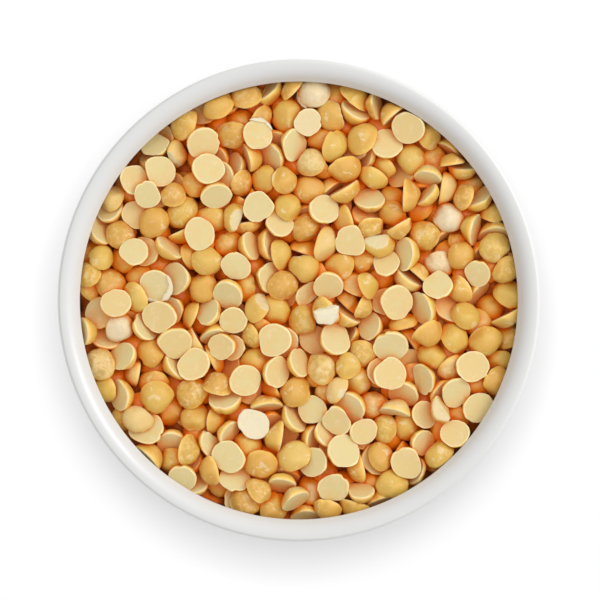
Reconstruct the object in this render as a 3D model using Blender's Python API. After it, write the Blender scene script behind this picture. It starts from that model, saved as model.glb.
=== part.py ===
"""A small white porcelain dish filled to just under its rim with dry yellow split peas.

The dish is turned from one profile. The peas are one heap: a core that follows the inside of
the dish, and a top layer of halved peas at their real size, fused to it and to each other.

Units are metres, +Z is up, and the origin is the centre of the dish's foot.
"""

import math
import random

import bmesh
import bpy
from mathutils import Matrix, Vector

MM = 0.001

# The dish.
RIM_RADIUS = 56.0 * MM
DISH_HEIGHT = 48.0 * MM
LIP_TOP_RADIUS = 55.2 * MM  # the crest of the lip lies near its outer edge
LIP_OUTER_DROP = 2.4 * MM
LIP_INNER_CURVE = 4.2 * MM
LIP_SLOPE_DEG = 57.0  # how steeply the lip's inner slope runs down to the throat
THROAT_RADIUS = 50.9 * MM  # the narrowest place of the mouth, under the lip's inner slope
LIP_FOOT_DROP = 8.0 * MM  # where the thick lip has run out into the wall
WALL_OUTER_RADIUS = 55.3 * MM
WALL_INNER_RADIUS = 52.4 * MM
WALL_BOTTOM_DROP = 10.0 * MM  # the wall is upright down to here, and round below
FOOT_RADIUS = 29.0 * MM
FOOT_WIDTH = 3.4 * MM
FOOT_HEIGHT = 2.8 * MM
FOOT_ROUNDING = 0.5 * MM
FLOOR_RADIUS = 25.0 * MM
FLOOR_HEIGHT = 6.4 * MM
DISH_SIDES = 60
BODY_ARC_STEPS = 7
LIP_ARC_STEPS = 4
BLEND_STEPS = 2

# The peas.
PEA_DIAMETER = 7.2 * MM
PEA_THICKNESS = 3.4 * MM
PEA_SIZE_SPREAD = 0.09
PEA_SIDES = 7
DOME_RING_RADIUS = 0.74  # share of the pea's radius
DOME_RING_HEIGHT = 0.76  # share of the pea's thickness
HEAP_TOP_DROP = 3.1 * MM  # the highest pea is just under the throat
HEAP_TOP = DISH_HEIGHT - HEAP_TOP_DROP
CORE_TOP = HEAP_TOP - 3.9 * MM
CORE_SIDES = 48
DISH_GAP = 0.3 * MM
WALL_RING_PEAS = 40
INNER_PEAS = 150
INNER_LAYER_RADIUS = 42.6 * MM
GOLDEN_ANGLE = math.pi * (3 - math.sqrt(5))
PLACE_JITTER = 0.5 * MM
HEIGHT_TIERS = (0.0, 0.95 * MM, 1.7 * MM)  # how far under the heap's top a pea's highest point lies
HEIGHT_JITTER = 0.3 * MM
FLAT_SIDE_UP_SHARE = 0.55
ON_EDGE_SHARE = 0.14
LYING_TILT_DEG = 12.0  # the usual lean of a pea that lies flat
EDGE_TILT_DEG = 58.0
EDGE_TILT_SPREAD_DEG = 10.0
SEED = 5

CRISP_EDGE = math.radians(40)
PORCELAIN_WHITE = (0.88, 0.88, 0.86, 1.0)
PEA_YELLOW = (0.85, 0.56, 0.20, 1.0)


def clear_scene():
    """Removes what the startup file holds."""
    for old in list(bpy.data.objects):
        bpy.data.objects.remove(old, do_unlink=True)


def finish(name, colour, roughness, coat=0.0):
    """A Principled material with one colour."""
    material = bpy.data.materials.new(name)
    material.use_nodes = True
    shader = material.node_tree.nodes["Principled BSDF"]
    shader.inputs["Base Color"].default_value = colour
    shader.inputs["Roughness"].default_value = roughness
    shader.inputs["Metallic"].default_value = 0.0
    shader.inputs["Coat Weight"].default_value = coat
    return material


def ellipse_arc(centre, half_width, half_height, start_deg, end_deg, steps):
    """Points (radius, height) along an ellipse, both ends included."""
    points = []
    for step in range(steps + 1):
        angle = math.radians(start_deg + (end_deg - start_deg) * step / steps)
        points.append((centre[0] + half_width * math.cos(angle), centre[1] + half_height * math.sin(angle)))
    return points


def blend(start, end, steps):
    """Points between two upright stretches of a profile, on an S-curve, with both ends left out."""
    points = []
    for step in range(1, steps):
        share = step / steps
        ease = share * share * (3 - 2 * share)
        points.append((start[0] + (end[0] - start[0]) * ease, start[1] + (end[1] - start[1]) * share))
    return points


def shade_round(mesh):
    """Smooth shading that keeps real edges crisp."""
    mesh.shade_smooth()
    mesh.set_sharp_from_angle(angle=CRISP_EDGE)


def turned(name, profile, sides):
    """A closed solid of revolution. The profile runs from the axis, outside and up, and back to the axis."""
    mesh = bpy.data.meshes.new(name)
    build = bmesh.new()
    rings = []
    for radius, height in profile:
        if radius == 0.0:
            rings.append([build.verts.new((0.0, 0.0, height))])
            continue
        turns = (2 * math.pi * side / sides for side in range(sides))
        rings.append([build.verts.new((radius * math.cos(t), radius * math.sin(t), height)) for t in turns])
    for lower, upper in zip(rings, rings[1:]):
        for side in range(sides):
            after = (side + 1) % sides
            if len(lower) == 1:
                build.faces.new((lower[0], upper[after], upper[side]))
            elif len(upper) == 1:
                build.faces.new((lower[side], lower[after], upper[0]))
            else:
                build.faces.new((lower[side], lower[after], upper[after], upper[side]))
    build.to_mesh(mesh)
    build.free()
    shade_round(mesh)
    solid = bpy.data.objects.new(name, mesh)
    bpy.context.scene.collection.objects.link(solid)
    return solid


def foot_profile():
    """The underside, from the axis over the foot ring to where the body begins."""
    inner = FOOT_RADIUS - FOOT_WIDTH
    return [
        (0.0, FOOT_HEIGHT),
        (inner, FOOT_HEIGHT),
        (inner, FOOT_ROUNDING),
        (inner + FOOT_ROUNDING, 0.0),
        (FOOT_RADIUS - FOOT_ROUNDING, 0.0),
        (FOOT_RADIUS, FOOT_ROUNDING),
    ]


def lip_profile():
    """The lip, from the top of the outer wall over the crest to the top of the inner wall."""
    foot = DISH_HEIGHT - LIP_FOOT_DROP
    outer = ellipse_arc(
        (LIP_TOP_RADIUS, DISH_HEIGHT - LIP_OUTER_DROP),
        RIM_RADIUS - LIP_TOP_RADIUS, LIP_OUTER_DROP, 0, 90, LIP_ARC_STEPS - 1,
    )
    inner = ellipse_arc(
        (LIP_TOP_RADIUS, DISH_HEIGHT - LIP_INNER_CURVE),
        LIP_INNER_CURVE, LIP_INNER_CURVE, 90, 90 + LIP_SLOPE_DEG, LIP_ARC_STEPS,
    )
    slope_width = inner[-1][0] - THROAT_RADIUS
    throat = (THROAT_RADIUS, inner[-1][1] - slope_width * math.tan(math.radians(LIP_SLOPE_DEG)))
    up = blend((WALL_OUTER_RADIUS, foot), outer[0], BLEND_STEPS)
    down = blend(throat, (WALL_INNER_RADIUS, foot), BLEND_STEPS)
    return [(WALL_OUTER_RADIUS, foot)] + up + outer + inner[1:] + [throat] + down + [(WALL_INNER_RADIUS, foot)]


def inside_arc(gap):
    """The round inside of the dish from its upright wall down to its floor, drawn in by a gap."""
    wall_bottom = DISH_HEIGHT - WALL_BOTTOM_DROP
    return ellipse_arc(
        (FLOOR_RADIUS, wall_bottom),
        WALL_INNER_RADIUS - FLOOR_RADIUS - gap,
        wall_bottom - FLOOR_HEIGHT - gap,
        0, -90, BODY_ARC_STEPS,
    )


def make_dish():
    """The porcelain dish, one turned solid."""
    wall_bottom = DISH_HEIGHT - WALL_BOTTOM_DROP
    outside = ellipse_arc(
        (FOOT_RADIUS, wall_bottom),
        WALL_OUTER_RADIUS - FOOT_RADIUS,
        wall_bottom - FOOT_HEIGHT,
        -90, 0, BODY_ARC_STEPS,
    )
    profile = foot_profile() + outside + lip_profile() + inside_arc(0.0) + [(0.0, FLOOR_HEIGHT)]
    dish = turned("dish", profile, DISH_SIDES)
    dish.data.materials.append(finish("porcelain", PORCELAIN_WHITE, 0.15, coat=0.6))
    return dish


def make_core():
    """What lies under the top layer, 0.3 mm clear of the dish all round."""
    side = inside_arc(DISH_GAP)[::-1]
    top_edge = (THROAT_RADIUS - DISH_GAP, CORE_TOP)
    profile = [(0.0, FLOOR_HEIGHT + DISH_GAP)] + side + [top_edge, (0.0, CORE_TOP)]
    return turned("split_peas", profile, CORE_SIDES)


def pea_points(radius, thickness):
    """A halved pea with few sides: a flat face down at height 0, a ring on the dome, and its crown."""
    points = []
    for share, height in ((1.0, 0.0), (DOME_RING_RADIUS, DOME_RING_HEIGHT * thickness)):
        for side in range(PEA_SIDES):
            turn = 2 * math.pi * (side + 0.5 * (height > 0)) / PEA_SIDES
            points.append(Vector((share * radius * math.cos(turn), share * radius * math.sin(turn), height)))
    points.append(Vector((0.0, 0.0, thickness)))
    return points


def pea_faces():
    """The faces over the points of one pea."""
    rim = list(range(PEA_SIDES))
    ring = [PEA_SIDES + side for side in rim]
    crown = 2 * PEA_SIDES
    faces = [tuple(reversed(rim))]
    for side in rim:
        after = (side + 1) % PEA_SIDES
        faces.append((rim[side], rim[after], ring[side]))
        faces.append((rim[after], ring[after], ring[side]))
        faces.append((ring[side], ring[after], crown))
    return faces


def layer_places():
    """Where the top layer's peas lie, as (x, y): a ring along the wall, and a sunflower spiral inside it."""
    wall_ring_radius = THROAT_RADIUS - DISH_GAP - PEA_DIAMETER / 2 * (1 + PEA_SIZE_SPREAD)
    places = []
    for index in range(WALL_RING_PEAS):
        turn = 2 * math.pi * index / WALL_RING_PEAS
        places.append((wall_ring_radius * math.cos(turn), wall_ring_radius * math.sin(turn)))
    for index in range(INNER_PEAS):
        radius = INNER_LAYER_RADIUS * math.sqrt((index + 0.5) / INNER_PEAS)
        turn = GOLDEN_ANGLE * index
        x = radius * math.cos(turn) + random.uniform(-PLACE_JITTER, PLACE_JITTER)
        y = radius * math.sin(turn) + random.uniform(-PLACE_JITTER, PLACE_JITTER)
        places.append((x, y))
    return places


def pea_turn():
    """How a pea lies: mostly near flat with either side up, and now and then on its edge."""
    tilt = random.gauss(0.0, LYING_TILT_DEG)
    if random.random() < ON_EDGE_SHARE:
        tilt = EDGE_TILT_DEG + random.uniform(-EDGE_TILT_SPREAD_DEG, EDGE_TILT_SPREAD_DEG)
    flip = 180.0 if random.random() < FLAT_SIDE_UP_SHARE else 0.0
    lean = Matrix.Rotation(math.radians(tilt), 3, "X") @ Matrix.Rotation(math.radians(flip), 3, "Y")
    return Matrix.Rotation(random.uniform(0, 2 * math.pi), 3, "Z") @ lean


def add_pea(name, place, tier, collection):
    """One halved pea, its highest point at its tier's depth under the heap's top."""
    size = 1 + random.uniform(-PEA_SIZE_SPREAD, PEA_SIZE_SPREAD)
    thickness = size * PEA_THICKNESS
    middle = Vector((0.0, 0.0, thickness / 2))
    turn = pea_turn()
    points = [turn @ (point - middle) for point in pea_points(size * PEA_DIAMETER / 2, thickness)]
    depth = HEIGHT_TIERS[tier] + random.uniform(0, HEIGHT_JITTER)
    lift = HEAP_TOP - depth - max(point.z for point in points)
    points = [point + Vector((place[0], place[1], lift)) for point in points]
    mesh = bpy.data.meshes.new(name)
    mesh.from_pydata(points, [], pea_faces())
    pea = bpy.data.objects.new(name, mesh)
    collection.objects.link(pea)


def keep_outer_skin(solid):
    """Fills the hollows that fusing has sealed and drops loose scraps, so that one closed body is left."""
    build = bmesh.new()
    build.from_mesh(solid.data)
    left = set(build.verts)
    skins = []
    while left:
        front = [left.pop()]
        skin = list(front)
        while front:
            vertex = front.pop()
            found = {edge.other_vert(vertex) for edge in vertex.link_edges} & left
            left -= found
            front.extend(found)
            skin.extend(found)
        skins.append(skin)
    skins.sort(key=len)
    for scrap in skins[:-1]:
        bmesh.ops.delete(build, geom=scrap, context="VERTS")
    build.to_mesh(solid.data)
    build.free()


def fuse(solid, collection):
    """Joins a collection's objects to a solid, and removes them."""
    join = solid.modifiers.new("fuse", "BOOLEAN")
    join.operation = "UNION"
    join.operand_type = "COLLECTION"
    join.collection = collection
    join.solver = "EXACT"
    bpy.context.view_layer.update()
    graph = bpy.context.evaluated_depsgraph_get()
    fused = bpy.data.meshes.new_from_object(solid.evaluated_get(graph))
    solid.modifiers.remove(join)
    solid.data = fused
    for used in list(collection.objects):
        bpy.data.objects.remove(used, do_unlink=True)
    bpy.data.collections.remove(collection)
    keep_outer_skin(solid)


def make_heap():
    """The heap of split peas, one solid out to its uneven top."""
    random.seed(SEED)
    heap = make_core()
    loose = bpy.data.collections.new("loose_peas")
    bpy.context.scene.collection.children.link(loose)
    for index, place in enumerate(layer_places()):
        add_pea(f"pea_{index}", place, index % len(HEIGHT_TIERS), loose)
    fuse(heap, loose)
    heap.data.materials.clear()
    heap.data.materials.append(finish("pea_flesh", PEA_YELLOW, 0.55))
    shade_round(heap.data)
    return heap


clear_scene()
make_dish()
make_heap()
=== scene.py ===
"""A small white porcelain dish of dry yellow split peas, dressed over its fixed CAD frame.

The dish is turned again with a finer profile. The peas are poured into it by a rigid-body simulation,
and each one is then built where it came to rest: a halved pea with a matte face, a rounded edge and a
satin dome. Frame units are metres, +Z is up, and the dish stands on the origin.
"""

import math

import bmesh
import bpy
import numpy as np
from bpy.props import FloatProperty, FloatVectorProperty, IntProperty, PointerProperty
from mathutils import Matrix, Vector
from mathutils.bvhtree import BVHTree


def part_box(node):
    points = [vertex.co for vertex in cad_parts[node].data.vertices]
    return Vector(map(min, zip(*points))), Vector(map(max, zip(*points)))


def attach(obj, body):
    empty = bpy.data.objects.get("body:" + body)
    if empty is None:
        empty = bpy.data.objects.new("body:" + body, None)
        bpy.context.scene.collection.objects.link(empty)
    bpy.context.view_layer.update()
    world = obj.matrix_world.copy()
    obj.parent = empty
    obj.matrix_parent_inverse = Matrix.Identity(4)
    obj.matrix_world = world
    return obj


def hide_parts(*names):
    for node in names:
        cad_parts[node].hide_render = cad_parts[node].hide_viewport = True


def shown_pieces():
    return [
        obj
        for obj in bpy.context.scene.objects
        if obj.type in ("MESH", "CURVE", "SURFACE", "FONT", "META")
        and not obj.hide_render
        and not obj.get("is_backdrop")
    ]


bl_info = {
    "name": "Dish of Split Peas",
    "version": (1, 0, 0),
    "blender": (4, 5, 0),
    "location": "View3D > Sidebar > Split Peas",
    "description": "Builds a porcelain dish filled with dry yellow split peas",
    "category": "Object",
}

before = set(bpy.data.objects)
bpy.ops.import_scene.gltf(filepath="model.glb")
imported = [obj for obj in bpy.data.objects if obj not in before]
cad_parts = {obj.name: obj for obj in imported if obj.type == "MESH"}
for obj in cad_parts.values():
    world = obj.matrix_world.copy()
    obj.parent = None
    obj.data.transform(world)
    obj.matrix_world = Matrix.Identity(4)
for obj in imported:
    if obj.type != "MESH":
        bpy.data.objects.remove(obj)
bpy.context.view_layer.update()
DISH_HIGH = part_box("dish")[1]

MM = 0.001
WHOLE_TURN = 2 * math.pi

# What the settings of one sort have in common.
COLOUR = {"subtype": "COLOR", "min": 0.0, "max": 1.0}
LENGTH = {"subtype": "DISTANCE", "unit": "LENGTH", "precision": 4}
POWER = {"unit": "POWER", "min": 0.0}

PHOTO_PIXELS = 600
PHOTO_CENTRE = (298.8, 300.5)  # the dish's middle in the photo, in pixels
PHOTO_RIM_PIXELS = 241.2  # the radius of the dish's rim there

# The dish's profile in millimetres: _IN is in from the rim's radius, and _DROP is down from the top.
LIP_CREST_IN = 0.8
LIP_OUTER_DROP = 2.4  # the height of the lip's outer round
LIP_INNER_CURVE = 4.2  # the radius of its inner round
LIP_SLOPE = 57.0  # how steep the lip's inside runs down to the throat, in degrees
THROAT_IN = 5.1
THROAT_ROUNDING = 0.9
LIP_FOOT_DROP = 8.0
WALL_OUTER_IN = 0.7
WALL_INNER_IN = 3.6
WALL_BOTTOM_DROP = 10.0
FOOT_RADIUS = 29.0
FOOT_WIDTH = 3.4
FOOT_HEIGHT = 2.8
FOOT_ROUNDING = 0.7
FOOT_STEPS = 4
FLOOR_RADIUS = 25.0
FLOOR_HEIGHT = 6.4
TURNED_SIDES = 192
TURNED_DETAIL = 14  # the steps of a quarter round in the profile


class DishSettings(bpy.types.PropertyGroup):
    """Sizes and colours of the porcelain dish"""

    rim_radius: FloatProperty(
        name="Rim radius",
        description="From the dish's middle to the outside of its lip",
        default=DISH_HIGH[0],
        min=0.02,
        **LENGTH,
    )
    height: FloatProperty(
        name="Height",
        description="From the foot to the crest of the lip",
        default=DISH_HIGH[2],
        min=0.02,
        **LENGTH,
    )
    glaze: FloatVectorProperty(
        name="Glaze",
        description="Colour of the glazed porcelain",
        default=(0.694, 0.694, 0.685),
        **COLOUR,
    )
    bare_clay: FloatVectorProperty(
        name="Bare clay",
        description="Colour of the unglazed underside of the foot ring",
        default=(0.66, 0.62, 0.56),
        **COLOUR,
    )


class PeaSettings(bpy.types.PropertyGroup):
    """Sizes and colours of the split peas"""

    diameter: FloatProperty(
        name="Diameter",
        description="Mean width of a split pea's flat face",
        default=7.2 * MM,
        min=3 * MM,
        max=12 * MM,
        **LENGTH,
    )
    thickness: FloatProperty(
        name="Thickness",
        description="Mean height of a split pea from its flat face to its crown",
        default=3.4 * MM,
        min=1 * MM,
        max=6 * MM,
        **LENGTH,
    )
    size_spread: FloatProperty(
        name="Size spread",
        description="How far a pea's size may lie from the mean, as a share of it",
        default=0.12,
        min=0.0,
        max=0.3,
        subtype="FACTOR",
    )
    count: IntProperty(
        name="Count",
        description="How many peas are poured over the bed",
        default=500,
        min=1,
        max=1500,
    )
    seed: IntProperty(
        name="Seed",
        description="Another number pours another heap",
        default=11,
        min=0,
    )
    face: FloatVectorProperty(
        name="Face",
        description="Colour of the matte split face",
        default=(0.745, 0.615, 0.30),
        **COLOUR,
    )
    face_warm: FloatVectorProperty(
        name="Warm face",
        description="Colour of the face where it is tinged",
        default=(0.77, 0.57, 0.245),
        **COLOUR,
    )
    # Partly a painted highlight: the pale line stands for light caught on the rounded edge of the face as
    # well as for its paler colour.
    line: FloatVectorProperty(
        name="Line",
        description="Colour of the pale line round the face",
        default=(0.98, 0.84, 0.48),
        **COLOUR,
    )
    band: FloatVectorProperty(
        name="Band",
        description="Colour of the yellow band under that line",
        default=(0.96, 0.61, 0.13),
        **COLOUR,
    )
    dome_yellow: FloatVectorProperty(
        name="Yellow dome",
        description="Colour of the yellowest domes",
        default=(0.735, 0.48, 0.092),
        **COLOUR,
    )
    dome_orange: FloatVectorProperty(
        name="Orange dome",
        description="Colour of the most orange domes",
        default=(0.725, 0.395, 0.070),
        **COLOUR,
    )
    pale: FloatVectorProperty(
        name="Pale patches",
        description="Colour of wrinkles and blotches",
        default=(0.86, 0.67, 0.39),
        **COLOUR,
    )
    white: FloatVectorProperty(
        name="White",
        description="Colour of scuffs, chips and scraps of seed coat",
        default=(0.84, 0.76, 0.56),
        **COLOUR,
    )
    # Painted shade: the orange that the peas' colour is multiplied towards where the heap hides their sky,
    # for the light passed from pea to pea.
    depth: FloatVectorProperty(
        name="Depth",
        description="Tint of the light that the peas leave each other where they shade each other most",
        default=(1.0, 0.55, 0.06),
        **COLOUR,
    )
    # Painted shade: the dark red that the peas' colour is mixed towards in the deepest gaps, and the colour
    # of the bed under them.
    glow: FloatVectorProperty(
        name="Glow",
        description="Colour that the peas turn towards in the deepest gaps",
        default=(1.0, 0.21, 0.0),
        **COLOUR,
    )


class StageSettings(bpy.types.PropertyGroup):
    """The floor, the camera and the lights"""

    floor: FloatVectorProperty(
        name="Floor",
        description="Colour of the plain floor",
        default=(0.30, 0.30, 0.30),
        **COLOUR,
    )
    camera_height: FloatProperty(
        name="Camera height",
        description="From the dish's lip up to the camera",
        default=0.70,
        min=0.2,
        **LENGTH,
    )
    floor_glow: FloatProperty(
        name="Floor glow",
        description="Light that the floor gives by itself, as a light table does",
        default=0.46,
        min=0.0,
    )
    key_power: FloatProperty(
        name="Key light",
        description="Power of the soft light at the upper right that only the dish gets",
        default=3.2,
        **POWER,
    )
    pea_key_power: FloatProperty(
        name="Key light on the peas",
        description="Power of the light from the same side that only the peas get",
        default=1.3,
        **POWER,
    )
    pea_soft_power: FloatProperty(
        name="Soft light on the peas",
        description="Power of the broad light over the dish that only the peas get",
        default=1.53,
        **POWER,
    )
    shadow_power: FloatProperty(
        name="Shadow light",
        description="Power of the light high over the dish's far side, which only the floor gets",
        default=6.3,
        **POWER,
    )
    fill: FloatProperty(
        name="Fill",
        description="Strength of the even light from all round",
        default=0.75,
        min=0.0,
    )


class Wire:
    """A socket of a node tree that takes part in Python expressions, each of which adds a Math node."""

    def __init__(self, finish, socket):
        self.finish = finish
        self.socket = socket

    def _math(self, operation, *values):
        return self.finish.node("ShaderNodeMath", {"operation": operation}, dict(enumerate(values)))

    def __add__(self, other):
        return self._math("ADD", self, other)

    def __radd__(self, other):
        return self._math("ADD", other, self)

    def __sub__(self, other):
        return self._math("SUBTRACT", self, other)

    def __rsub__(self, other):
        return self._math("SUBTRACT", other, self)

    def __mul__(self, other):
        return self._math("MULTIPLY", self, other)

    def __rmul__(self, other):
        return self._math("MULTIPLY", other, self)

    def above(self, low, high):
        """0 under low and 1 over high, with a soft step between them."""
        settings = {"interpolation_type": "SMOOTHSTEP"}
        return self.finish.node("ShaderNodeMapRange", settings, {0: self, 1: low, 2: high})


class Finish:
    """A material that is put together from nodes and expressions."""

    def __init__(self, name):
        self.material = bpy.data.materials.new(name)
        self.material.use_nodes = True
        self.tree = self.material.node_tree
        self.shader = self.tree.nodes["Principled BSDF"]

    def connect(self, value, socket):
        """Puts a number, a colour or a Wire on an input."""
        if isinstance(value, Wire):
            self.tree.links.new(value.socket, socket)
        elif socket.type == "RGBA" and len(value) == 3:
            socket.default_value = (*value, 1.0)
        else:
            socket.default_value = value

    def node(self, kind, settings=None, values=None, output=0):
        """Adds a node, with its settings first and then the values of its inputs, and gives one output."""
        made = self.tree.nodes.new(kind)
        for name, setting in (settings or {}).items():
            setattr(made, name, setting)
        for key, value in (values or {}).items():
            self.connect(value, made.inputs[key])
        return Wire(self, made.outputs[output])

    def mix(self, share, first, second, blend="MIX"):
        """A colour between two colours, or between one and its blend with the other."""
        values = {0: share, 6: first, 7: second}
        return self.node("ShaderNodeMix", {"data_type": "RGBA", "blend_type": blend}, values, output=2)

    def shift(self, place, by):
        """A place moved by three numbers, in the place's own units."""
        return self.node("ShaderNodeVectorMath", {"operation": "ADD"}, {0: place, 1: by})

    def noise(self, place, scale, detail=2.0, roughness=0.5, distortion=0.0):
        """Noise from about 0 to 1 over a place."""
        values = {
            "Vector": place,
            "Scale": scale,
            "Detail": detail,
            "Roughness": roughness,
            "Distortion": distortion,
        }
        return self.node("ShaderNodeTexNoise", {}, values)

    def attribute(self, name, output="Fac"):
        """What the mesh stores at each point under a name."""
        return self.node("ShaderNodeAttribute", {"attribute_name": name}, output=output)

    def bump(self, height, distance, strength=1.0):
        """The surface's direction under relief of that height, in metres."""
        values = {"Height": height, "Distance": distance, "Strength": strength}
        return self.node("ShaderNodeBump", {}, values)

    def surface(self, **inputs):
        """Sets the shader's inputs, named with _ for each space, and gives the material."""
        for name, value in inputs.items():
            title = name.replace("_", " ")
            self.connect(value, self.shader.inputs[title])
        return self.material


def darker(colour, share):
    """A colour with that share of its light."""
    return tuple(share * channel for channel in colour)


def add_piece(name, mesh, finish, slot, *nodes):
    """Puts a mesh in the scene as a piece of the object that stands for some CAD nodes."""
    mesh.materials.append(finish)
    piece = bpy.data.objects.new(name, mesh)
    bpy.context.scene.collection.objects.link(piece)
    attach(piece, "root")
    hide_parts(*nodes)
    return piece


# ---- the dish ----


def arc(centre, half_width, half_height, start, end, steps):
    """Points (radius, height) along an ellipse from one angle to another in degrees, both included."""
    turns = np.radians(np.linspace(start, end, steps + 1))
    across = centre[0] + half_width * np.cos(turns)
    up = centre[1] + half_height * np.sin(turns)
    return list(zip(across.tolist(), up.tolist()))


def ease(start, end, steps):
    """Points between two upright stretches of a profile on an S-curve, with both ends left out."""
    shares = np.linspace(0, 1, steps + 1)[1:-1]
    across = start[0] + (end[0] - start[0]) * shares**2 * (3 - 2 * shares)
    up = start[1] + (end[1] - start[1]) * shares
    return list(zip(across.tolist(), up.tolist()))


def inner_wall(rim, top, detail):
    """The dish's inside from the crest of its lip to the rim of its floor, in millimetres."""
    lip_end = 90 + LIP_SLOPE
    lip_middle = (rim - LIP_CREST_IN, top - LIP_INNER_CURVE)
    lip = arc(lip_middle, LIP_INNER_CURVE, LIP_INNER_CURVE, 90, lip_end, detail)
    steep = math.tan(math.radians(LIP_SLOPE))
    corner = lip[-1][1] - (lip[-1][0] - (rim - THROAT_IN)) * steep
    # The nose's round touches the slope's line and the upright through the throat.
    touch = THROAT_ROUNDING * math.tan(math.radians((90 - LIP_SLOPE) / 2))
    middle = (rim - THROAT_IN + THROAT_ROUNDING, corner - touch)
    nose = arc(middle, THROAT_ROUNDING, THROAT_ROUNDING, lip_end, 180, detail // 2)
    wall = (rim - WALL_INNER_IN, top - LIP_FOOT_DROP)
    reach = rim - WALL_INNER_IN - FLOOR_RADIUS
    low = top - WALL_BOTTOM_DROP
    bowl = arc((FLOOR_RADIUS, low), reach, low - FLOOR_HEIGHT, 0, -90, detail)
    return lip + nose + ease(nose[-1], wall, detail // 2) + [wall] + bowl


def outer_wall(rim, top, detail):
    """The dish's outside from the axis under its foot up to the crest of its lip, in millimetres."""
    inner = FOOT_RADIUS - FOOT_WIDTH
    wall = (rim - WALL_OUTER_IN, top - WALL_BOTTOM_DROP)
    body_width = wall[0] - FOOT_RADIUS
    ring = []
    for middle, start in ((inner + FOOT_ROUNDING, 180), (FOOT_RADIUS - FOOT_ROUNDING, 270)):
        round_middle = (middle, FOOT_ROUNDING)
        ring += arc(round_middle, FOOT_ROUNDING, FOOT_ROUNDING, start, start + 90, FOOT_STEPS)
    body = arc((FOOT_RADIUS, wall[1]), body_width, wall[1] - FOOT_HEIGHT, -90, 0, 2 * detail)
    lip_foot = (rim - WALL_OUTER_IN, top - LIP_FOOT_DROP)
    lip = arc((rim - LIP_CREST_IN, top - LIP_OUTER_DROP), LIP_CREST_IN, LIP_OUTER_DROP, 0, 90, detail)
    under = [(0.0, FOOT_HEIGHT), (inner - FOOT_ROUNDING, FOOT_HEIGHT), (inner, FOOT_HEIGHT - FOOT_ROUNDING)]
    return under + ring + body + [lip_foot] + ease(lip_foot, lip[0], detail // 2) + lip[:-1]


def turned_mesh(name, profile, sides):
    """A closed turned mesh in metres from a profile in millimetres that begins and ends on the axis."""
    build = bmesh.new()
    rings = []
    for radius, height in profile:
        steps = range(sides if radius else 1)
        turns = [WHOLE_TURN * step / sides for step in steps]
        places = [(radius * math.cos(t) * MM, radius * math.sin(t) * MM, height * MM) for t in turns]
        rings.append([build.verts.new(place) for place in places])
    for lower, upper in zip(rings, rings[1:]):
        for side in range(sides):
            after = (side + 1) % sides
            if len(lower) == 1:
                build.faces.new((lower[0], upper[after], upper[side]))
            elif len(upper) == 1:
                build.faces.new((lower[side], lower[after], upper[0]))
            else:
                build.faces.new((lower[side], lower[after], upper[after], upper[side]))
    mesh = bpy.data.meshes.new(name)
    build.to_mesh(mesh)
    build.free()
    mesh.shade_smooth()
    return mesh


def porcelain(settings):
    """White glaze with the faint unevenness of a fired dish, and bare clay under the foot ring."""
    finish = Finish("glazed_porcelain")
    place = finish.node("ShaderNodeTexCoord", output="Object")
    height = finish.node("ShaderNodeSeparateXYZ", {}, {0: place}, output=2)
    bare = 1 - height.above(0.25 * MM, 0.55 * MM)
    cloud = finish.noise(place, 60.0, 3.0)
    specks = finish.noise(place, 900.0, 1.0).above(0.70, 0.78)
    dim = darker(settings.glaze, 0.965)
    glaze = finish.mix(cloud, settings.glaze, dim)
    clay = finish.mix(finish.noise(place, 1500.0), settings.bare_clay, dim)
    colour = finish.mix(bare * 0.9, finish.mix(specks * 0.05, glaze, settings.bare_clay), clay)
    ripple = finish.noise(place, 45.0, 2.0) + finish.noise(place, 420.0, 1.0) * 0.06
    return finish.surface(
        Base_Color=colour,
        Roughness=0.36 + cloud * 0.06 + bare * 0.4,
        Normal=finish.bump(ripple, 0.2 * MM, 0.3),
        Coat_Weight=0.15 - bare * 0.15,
        Coat_Roughness=0.15,
    )


# ---- the shape of one pea ----

# How many sides a pea has: where it shows, where it hardly shows, and while it is poured.
AROUND = 40
AROUND_DEEP = 16
AROUND_POURED = 12

# One pea's rows from the middle of its face to its crown: share of the radius, share of the thickness, and
# how much the row belongs to the split face, to the pale line round it, which is partly a painted
# highlight, and to the yellow band under that.
FACE_ROWS = (
    (0.0, 0.0, 1.0, 0.0, 0.0),
    (0.36, 0.0, 1.0, 0.0, 0.0),
    (0.66, 0.0, 1.0, 0.0, 0.0),
    (0.86, 0.0, 1.0, 0.0, 0.0),
)
EDGE_ROWS = (
    (0.890, 0.0, 1.0, 0.2, 0.0),
    (0.932, 0.004, 0.8, 0.9, 0.0),
    (0.965, 0.022, 0.4, 1.0, 0.2),
    (0.988, 0.060, 0.1, 0.45, 0.8),
    (0.999, 0.120, 0.0, 0.05, 1.0),
)
CROWN_ROW = ((0.0, 1.0, 0.0, 0.0, 0.0),)
DOME_ANGLES = (13.0, 20.0, 28.0, 38.0, 48.0, 58.0, 68.0, 78.0)
DOME_ANGLES_POURED = (30.0, 58.0)
DOME_SQUARENESS = 2.05  # 2 makes the dome's section an ellipse
BAND_END = 24.0  # how far up the dome the yellow band fades out, in degrees
FOOT_SHARE = 0.4  # the part of its thickness at which a pea's own middle lies


def dome_rows(angles):
    """Rows over the dome between the edge and the crown."""
    rows = []
    for angle in angles:
        across = math.cos(math.radians(angle)) ** (2 / DOME_SQUARENESS)
        up = math.sin(math.radians(angle)) ** (2 / DOME_SQUARENESS)
        rows.append((across, up, 0.0, 0.0, max(0.0, 1.0 - angle / BAND_END)))
    return tuple(rows)


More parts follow.
